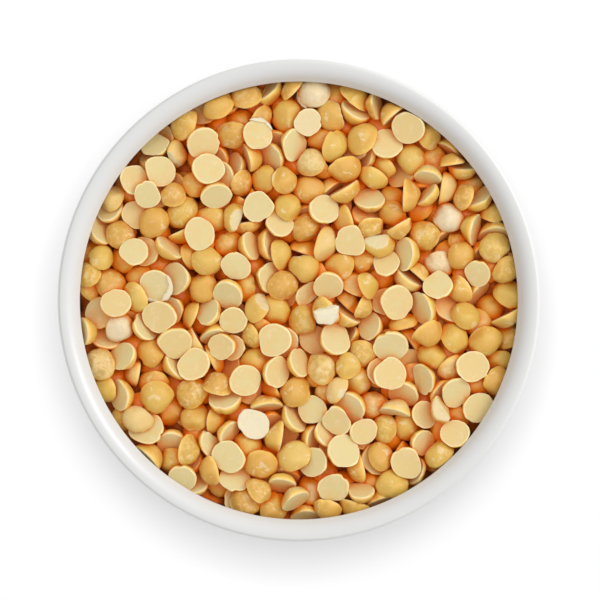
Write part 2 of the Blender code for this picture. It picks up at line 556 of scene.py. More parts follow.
ROWS = np.array(FACE_ROWS + EDGE_ROWS + dome_rows(DOME_ANGLES) + CROWN_ROW)
ROWS_DEEP = np.array(FACE_ROWS[::3] + EDGE_ROWS[::2] + dome_rows(DOME_ANGLES[1::2]) + CROWN_ROW)
ROWS_POURED = np.array(FACE_ROWS[:1] + EDGE_ROWS[::3] + dome_rows(DOME_ANGLES_POURED) + CROWN_ROW)
FACE_UP = Matrix.Rotation(math.pi, 4, "X")
FACE_PEAK = 0.5  # the poured peas' faces are low cones, so that no two close up face to face

# The kinds of pea and how many of each there are, as a share.
KINDS = {"round": 0.28, "notched": 0.30, "dimpled": 0.31, "broken": 0.095, "pale": 0.015}

# How unlike each other the peas are. The ranges are shares of a pea's radius where nothing else is said.
THICKNESS_SPREAD = 0.14
OVAL = (0.015, 0.085)
LOBES = (3, 4, 5)
LOBE_DEPTH = 0.05
ROUGHNESS_WAVES = (7, 9, 12)
ROUGHNESS_DEPTH = 0.009
NOTCHED_ANYWAY = 0.2  # the share of the other kinds that has a notch too
NOTCH_DEPTH = (0.05, 0.15)
NOTCH_WIDTH = (0.10, 0.24)  # in radians, as the next two are
NUB_OFF = 0.32  # how far the bump beside the notch is from it
NUB_WIDTH = 0.14
NUB_HEIGHT = (0.0, 0.05)
STRAIGHT_SHARE = {True: 0.7, False: 0.35}  # how many peas with and without a notch have a straight side
STRAIGHT_OUT = (0.78, 0.94)
STRAIGHT_OFF = (1.5, 4.5)  # how far the straight side is turned from the notch, in radians
STRAIGHT_REACH = 1.4
STRAIGHT_CORNER = 0.07
NO_SIDE = 9.0
LEAN = 0.05  # how far the crown is off the middle, as a standard deviation
DENTS = (2, 5)  # how many dents at least, and one more than how many at most
DENT_LIFT = (0.15, 1.35)
DENT_OUT = (0.76, 0.94)
DENT_CORNER = 0.12  # in millimetres
DENT_STRENGTH = 0.8
HOLLOW = (0.02, 0.09)  # how deep the face is dished, in millimetres: the mean and the standard deviation
DIMPLES = (0.5, 1.0)
PALE_DIMPLES = 0.7
PALENESS = (0.45, 0.8)
CUT_LIFT = (-0.5, 0.3)
CUT_OUT = (0.1, 0.85)
SECOND_CUT_OUT = (0.5, 0.9)
SECOND_CUT_SHARE = 0.5
CUT_ROUGHNESS = 0.10  # in millimetres
BROKEN_PALENESS = 0.3
GRAIN_WAVES = 7
GRAIN_PITCH = 2.2  # in radians a millimetre
RELIEF = 0.03  # the unevenness of each pea, in millimetres
DIMPLE_RELIEF = 0.055  # what a dimpled pea has more


def bearing(turn, lift):
    """The direction at a turn round the pea's axis and a lift over its face, both in radians."""
    return np.array((math.cos(turn) * math.cos(lift), math.sin(turn) * math.cos(lift), math.sin(lift)))


def any_bearing(lift, rng):
    """A direction at any turn and within a range of lifts."""
    return bearing(rng.uniform(0, WHOLE_TURN), rng.uniform(*lift))


class Pea:
    """What makes one halved pea unlike the next. Lengths are in millimetres."""

    def __init__(self, settings, kind, rng):
        self.kind = kind
        size = 1 + settings.size_spread * rng.uniform(-1, 1)
        self.radius = size * settings.diameter / MM / 2
        self.thickness = size * settings.thickness / MM * (1 + THICKNESS_SPREAD * rng.uniform(-1, 1))
        # The outline's waves: how many times each goes in and out, its depth and where it starts.
        self.waves = [(2, rng.uniform(*OVAL), rng.uniform(0, WHOLE_TURN))]
        for count in LOBES:
            self.waves.append((count, rng.uniform(0, LOBE_DEPTH) / (count - 1), rng.uniform(0, WHOLE_TURN)))
        for count in ROUGHNESS_WAVES:
            self.waves.append((count, rng.uniform(0, ROUGHNESS_DEPTH), rng.uniform(0, WHOLE_TURN)))
        notched = kind == "notched" or rng.random() < NOTCHED_ANYWAY
        self.notch = rng.uniform(*NOTCH_DEPTH) if notched else 0.0
        self.notch_turn = rng.uniform(0, WHOLE_TURN)
        self.notch_width = rng.uniform(*NOTCH_WIDTH)
        self.nub = rng.uniform(*NUB_HEIGHT)
        self.straight = rng.uniform(*STRAIGHT_OUT) if rng.random() < STRAIGHT_SHARE[notched] else NO_SIDE
        self.straight_turn = self.notch_turn + rng.uniform(*STRAIGHT_OFF)
        self.lean = rng.normal(0, LEAN, 2) * self.radius
        self.dents = []
        for _ in range(rng.integers(*DENTS)):
            self.dents.append((any_bearing(DENT_LIFT, rng), rng.uniform(*DENT_OUT)))
        self.hollow = rng.normal(*HOLLOW)
        self.wrinkle = {"dimpled": rng.uniform(*DIMPLES), "pale": PALE_DIMPLES}.get(kind, 0.0)
        self.cuts = []
        if kind == "broken":
            self.cuts.append((any_bearing(CUT_LIFT, rng), rng.uniform(*CUT_OUT) * self.radius))
        if kind == "broken" and rng.random() < SECOND_CUT_SHARE:
            self.cuts.append((any_bearing(CUT_LIFT, rng), rng.uniform(*SECOND_CUT_OUT) * self.radius))
        self.pale = {"pale": rng.uniform(*PALENESS)}.get(kind, 0.0)
        self.tone = rng.random()
        self.offset = rng.uniform(-400, 400, 3)
        self.grain = rng.normal(size=(GRAIN_WAVES, 3)) * GRAIN_PITCH
        self.grain_turns = rng.uniform(0, WHOLE_TURN, GRAIN_WAVES)

    def outline(self, turns):
        """The outline's radius at each turn round the pea, as a share of the pea's radius."""
        share = np.ones_like(turns)
        for count, depth, start in self.waves:
            share += depth * np.cos(count * turns + start)
        off = between(turns, self.straight_turn)
        side = np.where(np.abs(off) < STRAIGHT_REACH, self.straight / np.maximum(np.cos(off), 0.1), NO_SIDE)
        share = soft_least(share, side, STRAIGHT_CORNER)
        off = between(turns, self.notch_turn)
        share += self.nub * np.exp(-(((off - NUB_OFF) / NUB_WIDTH) ** 2))
        share -= self.notch * np.exp(-((off / self.notch_width) ** 2))
        return share / share.mean()

    def ripples(self, points):
        """Uneven relief over the pea, from about -1 to 1."""
        phases = points @ self.grain.T + self.grain_turns
        return np.sin(phases).sum(axis=-1) / 3.2

    def shape(self, around, rows):
        """The pea's points, face down with its middle on the axis: rows by turns by (x, y, z, broken)."""
        turns = WHOLE_TURN * np.arange(around) / around
        # The outline's bumps fade towards the crown and the middle of the face.
        share = rows[:, :1]
        face = rows[:, 2:3]
        across = self.radius * share * (1 + (self.outline(turns)[None, :] - 1) * share**1.5)
        height = self.thickness * rows[:, 1:2] * np.ones_like(across)
        grid = np.stack((across * np.cos(turns), across * np.sin(turns), height), axis=-1)
        grid[..., :2] += self.lean * rows[:, 1:2, None]
        grid = self.dented(grid, 1 - face)
        grid[..., 2] += self.hollow * face * (1 - share**2)
        relief = (RELIEF + DIMPLE_RELIEF * self.wrinkle * (1 - face)) * self.ripples(grid)
        outwards = grid - np.array((0, 0, 0.25 * self.thickness))
        outwards /= np.linalg.norm(outwards, axis=-1, keepdims=True)
        return self.cut(grid + outwards * relief[..., None])

    def dented(self, grid, share):
        """Points with the dome flatter where it grew against its neighbours in the pod."""
        for direction, depth in self.dents:
            extent = math.hypot(self.radius * math.hypot(*direction[:2]), self.thickness * direction[2])
            press = soft_over(grid @ direction - depth * extent, DENT_CORNER) * DENT_STRENGTH * share
            grid = grid - direction * press[..., None]
        return grid

    def cut(self, grid):
        """Points with what is broken off taken away, and a fourth value that is 1 on a broken side."""
        broken = np.zeros(grid.shape[:2])
        for direction, depth in self.cuts:
            over = grid @ direction - depth + CUT_ROUGHNESS * self.ripples(grid * 1.7)
            grid = grid - direction * np.maximum(over, 0)[..., None]
            broken = np.maximum(broken, over > 0)
        return np.concatenate((grid, broken[..., None]), axis=-1)


def between(turns, turn):
    """How far each turn is from one turn, the short way round, in radians."""
    return np.angle(np.exp(1j * (turns - turn)))


def soft_least(first, second, blend):
    """The lesser of two values with the corner between them rounded."""
    return -blend * np.logaddexp(-first / blend, -second / blend)


def soft_over(value, blend):
    """The value where it is positive and 0 elsewhere, with the corner rounded."""
    return blend * np.logaddexp(0, value / blend)


def pea_faces(around, row_count):
    """Faces over rows of points, with the first and the last row drawn together to one point each."""
    last = 1 + (row_count - 2) * around
    faces = []
    for side in range(around):
        after = (side + 1) % around
        faces.append((0, 1 + after, 1 + side))
        for row in range(row_count - 3):
            low = 1 + row * around
            faces.append((low + side, low + after, low + around + after, low + around + side))
        top = last - around
        faces.append((top + side, top + after, last))
    return faces


def listed(grid):
    """Rows of points as one list, with the first and the last row drawn together to one point each."""
    inner = grid[1:-1].reshape(-1, grid.shape[-1])
    return np.concatenate((grid[0, :1], inner, grid[-1, :1]))


def placed(points, matrix, pea):
    """Points of a pea where it came to rest, in millimetres."""
    lowered = points[:, :3] - np.array((0, 0, pea.thickness * FOOT_SHARE))
    return lowered @ matrix[:3, :3].T + matrix[:3, 3]


# ---- pouring ----

# The bed that the peas fall on, in millimetres.
BED_HEIGHT = 34.5
BED_GAP = 0.3  # between the bed and the dish
BED_RINGS = 40
BED_ROUNDING = 3.0  # how far under the bed's top its side ends
BED_SLACK = 0.01
BANK_START = 44.0
BANK_WIDTH = 6.0
BANK_RISE = 1.5  # how much higher the bed is along the wall

# How the peas are let go: layer by layer in rings, and later over the low places.
LAYER_STEP = 8.4
CELL_STEP = 9.2
FALL_CLEAR = 4.0  # how far a falling pea's middle stays from the chute
FALL_START = 6.0  # how far over the bed the first layer starts
FRAMES = 70
TOP_UPS = 3
TOP_UP_FRAMES = 30
TOP_UP_FALL = 3.5
TOP_UP_TRIES = 900
TOP_UP_APART = 5.2
TOP_UP_DEPTH = 1.9  # a place is topped up where the heap is this far below its level
TOP_UP_SPAN = 2.4
TOP_UP_SHARE = 0.2  # the share of the peas that is kept for topping up
SHAKE = 0.1  # how far gravity swings sideways while the peas fall, as a share of it
SHAKE_TURN = 1.3
SHAKE_END = 0.7  # the part of a fall's frames after which it swings no more
TILT = 12.0  # how far the falling peas lean, as a standard deviation in degrees
FACE_UP_TURNED = 0.25  # the share of the peas lying face up that is turned over before each top-up
LEVEL_UPRIGHT = 0.8  # the cosine under which a pea counts as leaning
CLOSED_UP = 1.24  # how near two halves that face each other lie, in thicknesses

# The simulation, in which a unit is a millimetre.
SUBSTEPS = 8
SOLVER_STEPS = 12
GRAVITY = 600.0
CHUTE_HEIGHT = 160.0
CHUTE_SIDES = 72
CHUTE_DEPTH = 4.0  # how far the chute goes on under the bed
CHUTE_DETAIL = 12
FRICTION = 0.5
DAMPING = 0.05
TURN_DAMPING = 0.2
MARGIN = 0.04
BED_CELLS = 60

LEVEL_DROP = 3.1  # the heap is levelled this far under the dish's top
LEVEL_GRACE = 0.6  # how far a pea may stick out of the level heap
LEVEL_MIDDLE = 1.9  # how far under the level each pea's own middle is


def bed_relief(x, y):
    """The lumpy top of the bed that the loose peas fall on, in millimetres."""
    lumps = 1.4 * np.sin(0.9 * x + 0.4) * np.sin(0.8 * y + 2.1)
    swell = 0.9 * np.sin(0.45 * x + 0.5 * y + 4.0)
    ridges = 0.7 * np.sin(1.7 * x - 1.1 * y) * np.sin(1.3 * y + 0.6 * x + 1.0)
    bank = BANK_RISE * np.clip((np.hypot(x, y) - BANK_START) / BANK_WIDTH, 0, 1)
    return BED_HEIGHT + lumps + swell + ridges + bank


def plain_object(name, points, faces):
    """A helper mesh in the scene while the peas are poured."""
    mesh = bpy.data.meshes.new(name)
    mesh.from_pydata([tuple(point) for point in points], [], faces)
    made = bpy.data.objects.new(name, mesh)
    bpy.context.scene.collection.objects.link(made)
    return made


def grid_faces(rows, columns, closed=False):
    """Faces over rows of points, which go all the way round if they are closed."""
    faces = []
    for row in range(rows - 1):
        for column in range(columns if closed else columns - 1):
            low = row * columns + column
            after = row * columns + (column + 1) % columns
            faces.append((low, after, after + columns, low + columns))
    return faces


def chute(rim, top):
    """The dish's inner wall from the bed to its throat, and a straight chute on it for the peas."""
    low = BED_HEIGHT - CHUTE_DEPTH
    wall = [(radius, height) for radius, height in inner_wall(rim, top, CHUTE_DETAIL) if height > low]
    nose = min(range(len(wall)), key=lambda index: wall[index][0])
    profile = [(rim - THROAT_IN, CHUTE_HEIGHT), *wall[nose:]]
    turns = [WHOLE_TURN * side / CHUTE_SIDES for side in range(CHUTE_SIDES)]
    points = []
    for radius, height in profile:
        points.extend([(radius * math.cos(turn), radius * math.sin(turn), height) for turn in turns])
    return plain_object("chute", points, grid_faces(len(profile), CHUTE_SIDES, closed=True))


def bed_mesh(rim, top):
    """The bed as it shows between the peas: it fills the dish up to its lumpy top."""
    limit = BED_HEIGHT - BED_ROUNDING
    inside = [place for place in inner_wall(rim, top, TURNED_DETAIL) if place[1] <= limit]
    lower = [(radius - BED_GAP, max(height, FLOOR_HEIGHT + BED_GAP)) for radius, height in reversed(inside)]
    rings = [(share * lower[-1][0], BED_HEIGHT) for share in np.linspace(1, 0, BED_RINGS)]
    mesh = turned_mesh("pea_bed", [(0.0, FLOOR_HEIGHT + BED_GAP)] + lower + rings, TURNED_SIDES)
    for vertex in mesh.vertices:
        if vertex.co.z > (BED_HEIGHT - BED_SLACK) * MM:
            vertex.co.z = float(bed_relief(vertex.co.x / MM, vertex.co.y / MM)) * MM
    return mesh


def bed_ground(rim):
    """The bed's lumpy top as a grid, for the simulation."""
    steps = np.linspace(-rim, rim, BED_CELLS)
    x, y = np.meshgrid(steps, steps)
    points = np.stack((x, y, bed_relief(x, y)), axis=-1).reshape(-1, 3)
    return plain_object("ground", points, grid_faces(BED_CELLS, BED_CELLS))


def poured_object(index, pea):
    """A pea with few sides that the simulation moves."""
    points = listed(pea.shape(AROUND_POURED, ROWS_POURED))[:, :3]
    points[0, 2] -= FACE_PEAK
    points[:, 2] -= pea.thickness * FOOT_SHARE
    loose = plain_object(f"loose_{index}", points, pea_faces(AROUND_POURED, len(ROWS_POURED)))
    loose.rotation_mode = "QUATERNION"
    return loose


def give_bodies(objects, kind, shape):
    """Makes rigid bodies of some objects."""
    for made in objects:
        made.select_set(True)
    bpy.context.view_layer.objects.active = objects[0]
    bpy.ops.rigidbody.objects_add(type=kind)
    for made in objects:
        body = made.rigid_body
        body.collision_shape = shape
        body.mesh_source = "BASE"
        body.friction = FRICTION
        body.restitution = 0.0
        body.linear_damping = DAMPING
        body.angular_damping = TURN_DAMPING
        body.use_margin = True
        body.collision_margin = MARGIN
        made.select_set(False)


def drop(objects):
    """Removes helper objects and their meshes."""
    for made in objects:
        mesh = made.data
        bpy.data.objects.remove(made, do_unlink=True)
        bpy.data.meshes.remove(mesh)


def settle(parts, frames, rim, top):
    """Lets peas fall from where their matrices put them, and gives each with its matrix at the end."""
    scene = bpy.context.scene
    loose = [poured_object(index, pea) for index, (pea, _) in enumerate(parts)]
    for made, (_, matrix) in zip(loose, parts):
        made.matrix_world = Matrix(matrix.tolist())
    still = [chute(rim, top), bed_ground(rim)]
    bpy.ops.rigidbody.world_add()
    world = scene.rigidbody_world
    world.substeps_per_frame = SUBSTEPS
    world.solver_iterations = SOLVER_STEPS
    bpy.ops.object.select_all(action="DESELECT")
    give_bodies(still, "PASSIVE", "MESH")
    give_bodies(loose, "ACTIVE", "CONVEX_HULL")
    world.point_cache.frame_start = 1
    world.point_cache.frame_end = frames
    for number in range(1, frames + 1):
        swing = SHAKE * max(0.0, 1 - number / (SHAKE_END * frames))
        sideways = (math.cos(SHAKE_TURN * number), math.sin(SHAKE_TURN * number))
        scene.gravity = (GRAVITY * swing * sideways[0], GRAVITY * swing * sideways[1], -GRAVITY)
        scene.frame_set(number)
    rested = [(pea, np.array(made.matrix_world)) for made, (pea, _) in zip(loose, parts)]
    bpy.ops.rigidbody.world_remove()
    drop(loose + still)
    scene.frame_set(1)
    return rested


def level(parts, limit):
    """Strikes the heap off at a height: the peas that stay, and those that stood too high."""
    stay, spilled = [], []
    for pea, matrix in parts:
        tops = placed(listed(pea.shape(AROUND_POURED, ROWS_POURED)), matrix, pea)[:, 2]
        low = tops.max() < limit + LEVEL_GRACE and matrix[2, 3] < limit - LEVEL_MIDDLE
        (stay if low else spilled).append((pea, matrix))
    return stay, spilled


def turned_over(pea, matrix):
    """Where a pea lies after it is turned over on the spot."""
    swing = np.diag((1.0, -1.0, -1.0, 1.0))
    swing[2, 3] = 2 * (0.5 - FOOT_SHARE) * pea.thickness
    return matrix @ swing


def loosened(parts, rng):
    """Turns over one pea of each two that lie face to face like a whole pea, and some of those face up."""
    loose = []
    for pea, matrix in parts:
        turn = -matrix[2, 2] > LEVEL_UPRIGHT and rng.random() < FACE_UP_TURNED
        for _, other in parts:
            apart = matrix[:3, 3] - other[:3, 3]
            facing = -matrix[:3, 2] @ other[:3, 2]
            close = np.linalg.norm(apart) < CLOSED_UP * pea.thickness
            over = matrix[:3, 2] @ apart > 0 and apart[2] > 0
            turn = turn or (close and facing > LEVEL_UPRIGHT and over)
        loose.append((pea, turned_over(pea, matrix) if turn else matrix))
    return loose


def fall_places(reach):
    """Places in rings round the dish's middle, about as far apart from each other as falling peas need."""
    places = [(0.0, 0.0)]
    rings = round(reach / CELL_STEP)
    for ring in range(1, rings + 1):
        radius = reach * ring / rings
        count = int(WHOLE_TURN * radius / CELL_STEP)
        turns = WHOLE_TURN * np.arange(count) / count
        places.extend(zip(radius * np.cos(turns), radius * np.sin(turns)))
    return np.array(places)


def any_turn(x, y, z, rng):
    """A matrix at a place that turns a pea at random and leans it, with either side up."""
    turn, spin = rng.uniform(0, WHOLE_TURN, 2)
    over = math.pi * rng.integers(2) + math.radians(TILT) * rng.normal()
    lean = Matrix.Rotation(over, 4, (math.cos(turn), math.sin(turn), 0.0))
    return np.array(Matrix.Translation((x, y, z)) @ lean @ Matrix.Rotation(spin, 4, "Z"))


def low_places(parts, reach, limit, count, rng):
    """Places where the heap is lowest, apart from each other."""
    heap = Heap(parts)
    radii = reach * np.sqrt(rng.random(TOP_UP_TRIES))
    turns = rng.uniform(0, WHOLE_TURN, TOP_UP_TRIES)
    span = ((0, 0), (TOP_UP_SPAN, 0), (-TOP_UP_SPAN, 0), (0, TOP_UP_SPAN), (0, -TOP_UP_SPAN))
    tries = []
    for x, y in zip(radii * np.cos(turns), radii * np.sin(turns)):
        tries.append((np.mean([heap.height(x + across, y + along) for across, along in span]), x, y))
    chosen = []
    for height, x, y in sorted(tries):
        apart = all(math.hypot(x - other[0], y - other[1]) > TOP_UP_APART for other in chosen)
        if apart and height < limit - TOP_UP_DEPTH and len(chosen) < count:
            chosen.append((x, y))
    return chosen


def fall_starts(peas, reach, rng):
    """Peas in layers over the bed, each with the matrix that it starts to fall with."""
    places = fall_places(reach)
    starts = []
    for number, pea in enumerate(peas):
        layer, cell = divmod(number, len(places))
        if cell == 0:
            twist = rng.uniform(0, WHOLE_TURN)
            order = rng.permutation(len(places))
        x, y = places[order[cell]]
        across = x * math.cos(twist) - y * math.sin(twist)
        along = x * math.sin(twist) + y * math.cos(twist)
        starts.append((pea, any_turn(across, along, BED_HEIGHT + FALL_START + LAYER_STEP * layer, rng)))
    return starts


def pour(peas, rim, top, rng):
    """Lets the peas fall into the dish, strikes the heap off level and tops up where it is low.

    It gives each pea that is left with its matrix. One unit is a millimetre while they fall, because the
    simulation is exact only for things of that many units, and everything that it used is removed again.
    """
    limit = top - LEVEL_DROP
    reach = rim - THROAT_IN - FALL_CLEAR
    kept = list(peas[round((1 - TOP_UP_SHARE) * len(peas)) :])
    parts = settle(fall_starts(peas[: -len(kept)], reach, rng), FRAMES, rim, top)
    for _ in range(TOP_UPS):
        parts, spilled = level(parts, limit)
        kept.extend(pea for pea, _ in spilled)
        low = low_places(parts, reach, limit, len(kept), rng)
        more = [(pea, any_turn(x, y, limit + TOP_UP_FALL, rng)) for pea, (x, y) in zip(kept, low)]
        kept = kept[len(more) :]
        parts = settle(loosened(parts, rng) + more, TOP_UP_FRAMES, rim, top)
    return level(parts, limit)[0]


# ---- building the peas ----

# How the shade between the peas, which is painted into their colour, is worked out, in millimetres.
SKY_CELL = 0.4
SKY_HALF = 56.0
SKY_TURNS = 8
SKY_REACHES = (0.8, 1.6, 2.8, 4.5)
SKY_SLACK = 0.15  # the heap hides no sky where it rises less than this
COVER_START = 0.4
COVER_WIDTH = 1.6
COVER_SHADE = 0.9
SHOWN_SLACK = 0.25
LOOK_DOWN_FROM = 100.0

REST_SLOPE = 0.5  # how much of the slope under it the pale chip takes up
REST_REACH = 0.6  # how far out the chip is carried, as a share of its radius
REST_TURNS = ((1, 0), (-1, 0), (0, 1), (0, -1), (0.7, 0.7), (-0.7, -0.7))


class Heap:
    """The peas where they came to rest, and what can be seen of each point from above."""

    def __init__(self, parts):
        self.parts = parts
        points, faces, self.starts = [], [], []
        template = pea_faces(AROUND_POURED, len(ROWS_POURED))
        for pea, matrix in self.parts:
            own = placed(listed(pea.shape(AROUND_POURED, ROWS_POURED)), matrix, pea)
            self.starts.append(len(points))
            faces.extend([tuple(corner + len(points) for corner in face) for face in template])
            points.extend(own.tolist())
        self.points = points
        self.tree = BVHTree.FromPolygons(points, faces)

    def look_up(self):
        """Notes the heap's height over a fine grid, for the shade."""
        steps = np.arange(-SKY_HALF, SKY_HALF + SKY_CELL, SKY_CELL)
        self.skyline = np.array([[self.height(x, y) for x in steps] for y in steps])

    def height(self, x, y):
        """The heap's height under a place, in millimetres."""
        hit = self.tree.ray_cast(Vector((x, y, LOOK_DOWN_FROM)), Vector((0, 0, -1)))[0]
        return BED_HEIGHT if hit is None else hit.z

    def rest_on(self, pea, x, y):
        """The matrix that lays a flat pea, face up, on what is highest under it."""
        span = REST_REACH * pea.radius * np.array(REST_TURNS) + (x, y)
        under = np.array([(across, along, self.height(across, along)) for across, along in span])
        fit = np.column_stack((under[:, :2] - (x, y), np.ones(len(under))))
        slope = np.linalg.lstsq(fit, under[:, 2], rcond=None)[0] * REST_SLOPE
        lift = (under[:, 2] - fit[:, :2] @ slope[:2]).max()
        up = Vector((-slope[0], -slope[1], 1.0)).normalized()
        turn = Vector((0.0, 0.0, 1.0)).rotation_difference(up).to_matrix().to_4x4()
        height = lift + (1 - FOOT_SHARE) * pea.thickness
        return np.array(Matrix.Translation((x, y, height)) @ turn @ FACE_UP)

    def shown(self):
        """For each pea, the share of its points that nothing covers from straight above."""
        size = self.starts[1]
        shares = []
        for start in self.starts:
            clear = [self.height(x, y) < z + SHOWN_SLACK for x, y, z in self.points[start : start + size]]
            shares.append(sum(clear) / size)
        return shares

    def rises(self, points, turn, reach):
        """How far the heap stands over each point at some distance from it."""
        across = points[:, 0] + reach * math.cos(turn)
        along = points[:, 1] + reach * math.sin(turn)
        last = len(self.skyline) - 1
        column = np.clip(np.rint((across + SKY_HALF) / SKY_CELL), 0, last).astype(int)
        row = np.clip(np.rint((along + SKY_HALF) / SKY_CELL), 0, last).astype(int)
        return self.skyline[row, column] - points[:, 2]

    def shade(self, points):
        """How much of the sky the heap hides from each point, from 0 to 1."""
        hidden = np.zeros(len(points))
        for turn in WHOLE_TURN * np.arange(SKY_TURNS) / SKY_TURNS:
            slope = np.zeros(len(points))
            for reach in SKY_REACHES:
                slope = np.maximum(slope, (self.rises(points, turn, reach) - SKY_SLACK) / reach)
            hidden += slope**2 / (1 + slope**2) / SKY_TURNS
        covered = np.clip((self.rises(points, 0.0, 0.0) - COVER_START) / COVER_WIDTH, 0, 1)
        return np.maximum(hidden, COVER_SHADE * covered)


LOOKS = ("pea_face", "pea_line", "pea_band", "pea_tone", "pea_wrinkle", "pea_pale", "pea_shade")


def pea_looks(pea, own, kinds, shade):
    """What the finish reads at each point of a pea, in the order of LOOKS."""
    # A broken side is flesh, like the face, without its line and band.
    kinds = kinds * (1 - own[:, 3:]) + np.array((1, 0, 0)) * own[:, 3:]
    tone = np.full(len(own), pea.tone)
    wrinkle = np.full(len(own), pea.wrinkle)
    pale = np.maximum(pea.pale, BROKEN_PALENESS * own[:, 3])
    return np.column_stack((kinds, tone, wrinkle, pale, shade))


def copied_mesh(name, points, faces, copies):
    """A mesh of many copies of the same faces, each over its own stretch of the points."""
    sizes = np.array([len(face) for face in faces])
    corners = np.concatenate([np.array(face) for face in faces])
    mesh = bpy.data.meshes.new(name)
    mesh.vertices.add(len(points))
    mesh.vertices.foreach_set("co", points.ravel())
    mesh.loops.add(len(corners) * copies)
    shifted = corners[None, :] + len(points) // copies * np.arange(copies)[:, None]
    mesh.loops.foreach_set("vertex_index", shifted.ravel())
    mesh.polygons.add(len(sizes) * copies)
    ends = np.tile(sizes, copies).cumsum()
    mesh.polygons.foreach_set("loop_start", np.concatenate(((0,), ends[:-1])))
    mesh.update(calc_edges=True)
    mesh.shade_smooth()
    return mesh


def joined(name, heap, parts, around, rows):
    """One mesh from many peas, given as (pea, matrix), with their looks stored at each point.

    pea_place holds the pea's own coordinates in millimetres, moved by an offset of its own.
    """
    kinds = listed(np.repeat(rows[:, None, 2:], around, axis=1))
    places, owns, looks = [], [], []
    for pea, matrix in parts:
        own = listed(pea.shape(around, rows))
        spot = placed(own, matrix, pea)
        places.append(spot * MM)
        owns.append(own[:, :3] + pea.offset)
        looks.append(pea_looks(pea, own, kinds, heap.shade(spot)))
    mesh = copied_mesh(name, np.concatenate(places), pea_faces(around, len(rows)), len(parts))
    store(mesh, "pea_place", np.concatenate(owns), "FLOAT_VECTOR")
    for title, values in zip(LOOKS, np.concatenate(looks).T):
        store(mesh, title, values)
    return mesh


def store(mesh, name, values, kind="FLOAT"):
    """Stores a value at each point of a mesh."""
    field = "vector" if kind == "FLOAT_VECTOR" else "value"
    mesh.attributes.new(name, kind, "POINT").data.foreach_set(field, np.ascontiguousarray(values).ravel())


# The pale chip that lies on the heap, and the peas unlike the rest, by their pixels in the photo.
CHIP = (327, 313)
WHITE_DOME = (452, 215)
PINK_DOME = (423, 268)
FLAKY_DOME = (276, 98)
WHITE_HALF = (274, 452)
BLOTCHED_FACE = (336, 137)
COATED_FACE = (143, 298)
COATED_EDGE = (269, 153)

# Each of those peas: its pixel, whether its face is up, its paleness and how wrinkled it is.
MARKED = (
    (WHITE_DOME, False, 0.80, 0.5),
    (PINK_DOME, False, 0.55, 1.0),
    (FLAKY_DOME, False, 0.65, 1.0),
    (WHITE_HALF, True, 0.85, 0.3),
    (BLOTCHED_FACE, True, 0.35, 0.6),
)

# Each scrap of seed coat: its pea's pixel, whether the face is up, the bearings between which it lies seen
# from above, in degrees, how far it reaches in and how loose it is.
COATS = (
    (COATED_FACE, True, 200.0, 400.0, 0.16, 0.55),
    (COATED_EDGE, True, 20.0, 120.0, 0.14, 0.2),
    (FLAKY_DOME, False, 90.0, 250.0, 0.10, 0.2),
)

CHIP_RADIUS = 3.6
CHIP_THICKNESS = 1.4
CHIP_LIFT = -0.35  # how far under the level its broken sides face, in radians
# The chip's broken sides: the turn each faces, in degrees, and how far it is from the middle.
CHIP_SIDES = ((255.0, 0.9), (9.0, 2.2), (41.0, 2.4), (95.0, 2.4), (165.0, 2.6))
SHOWN_SHARE = 0.03  # a pea of which less shows is built with fewer sides

# A pea is looked for by its distance from a pixel, in millimetres, and what counts against it besides.
WRONG_WAY_UP = 8
HARDLY_SHOWN = 8
IS_BROKEN = 50
RIGHT_WAY_UP = 0.75  # the least cosine
WELL_SHOWN = 0.4  # the least share


def photo_place(pixel, rim):
    """Where a pixel of the photo lies, in millimetres from the dish's middle."""
    scale = rim / PHOTO_RIM_PIXELS
    return (pixel[0] - PHOTO_CENTRE[0]) * scale, (PHOTO_CENTRE[1] - pixel[1]) * scale


def nearest(heap, shares, pixel, face_up, rim):
    """The whole, well-shown pea with that side up that lies nearest to a pixel, and its matrix."""
    x, y = photo_place(pixel, rim)
    best = []
    for (pea, matrix), share in zip(heap.parts, shares):
        upright = -matrix[2, 2] if face_up else matrix[2, 2]
        away = math.hypot(matrix[0, 3] - x, matrix[1, 3] - y)
        away += WRONG_WAY_UP * (upright < RIGHT_WAY_UP) + HARDLY_SHOWN * (share < WELL_SHOWN)
        best.append(away + IS_BROKEN * bool(pea.cuts))
    return heap.parts[int(np.argmin(best))]


def mark_peas(heap, shares, rim):
    """Gives the peas that stand out in the photo their looks."""
    for pixel, face_up, pale, wrinkle in MARKED:
        pea = nearest(heap, shares, pixel, face_up, rim)[0]
        pea.pale = pale
        pea.wrinkle = wrinkle


def break_chip(pea):
    """Makes a thin broken chip of a pea."""
    pea.radius = CHIP_RADIUS
    pea.thickness = CHIP_THICKNESS
    pea.pale = 1.0
    pea.cuts = [(bearing(math.radians(turn), CHIP_LIFT), depth) for turn, depth in CHIP_SIDES]


def poured_heap(settings, rim, top, rng):
    """All the peas where they came to rest, with the broken chip lying on them."""
    kinds = rng.choice(list(KINDS), settings.count, p=list(KINDS.values()))
    chip, *peas = [Pea(settings, str(kind), rng) for kind in kinds]
    break_chip(chip)
    poured = pour(peas, rim, top, rng)
    chip_place = Heap(poured).rest_on(chip, *photo_place(CHIP, rim))
    heap = Heap(poured + [(chip, chip_place)])
    heap.look_up()
    return heap


def sorted_peas(heap, shares):
    """The peas and their matrices for each kind that shows, and those that hardly show."""
    groups = {name: [] for name in (*KINDS, "deep")}
    for part, share in zip(heap.parts, shares):
        groups[part[0].kind if share > SHOWN_SHARE else "deep"].append(part)
    return groups


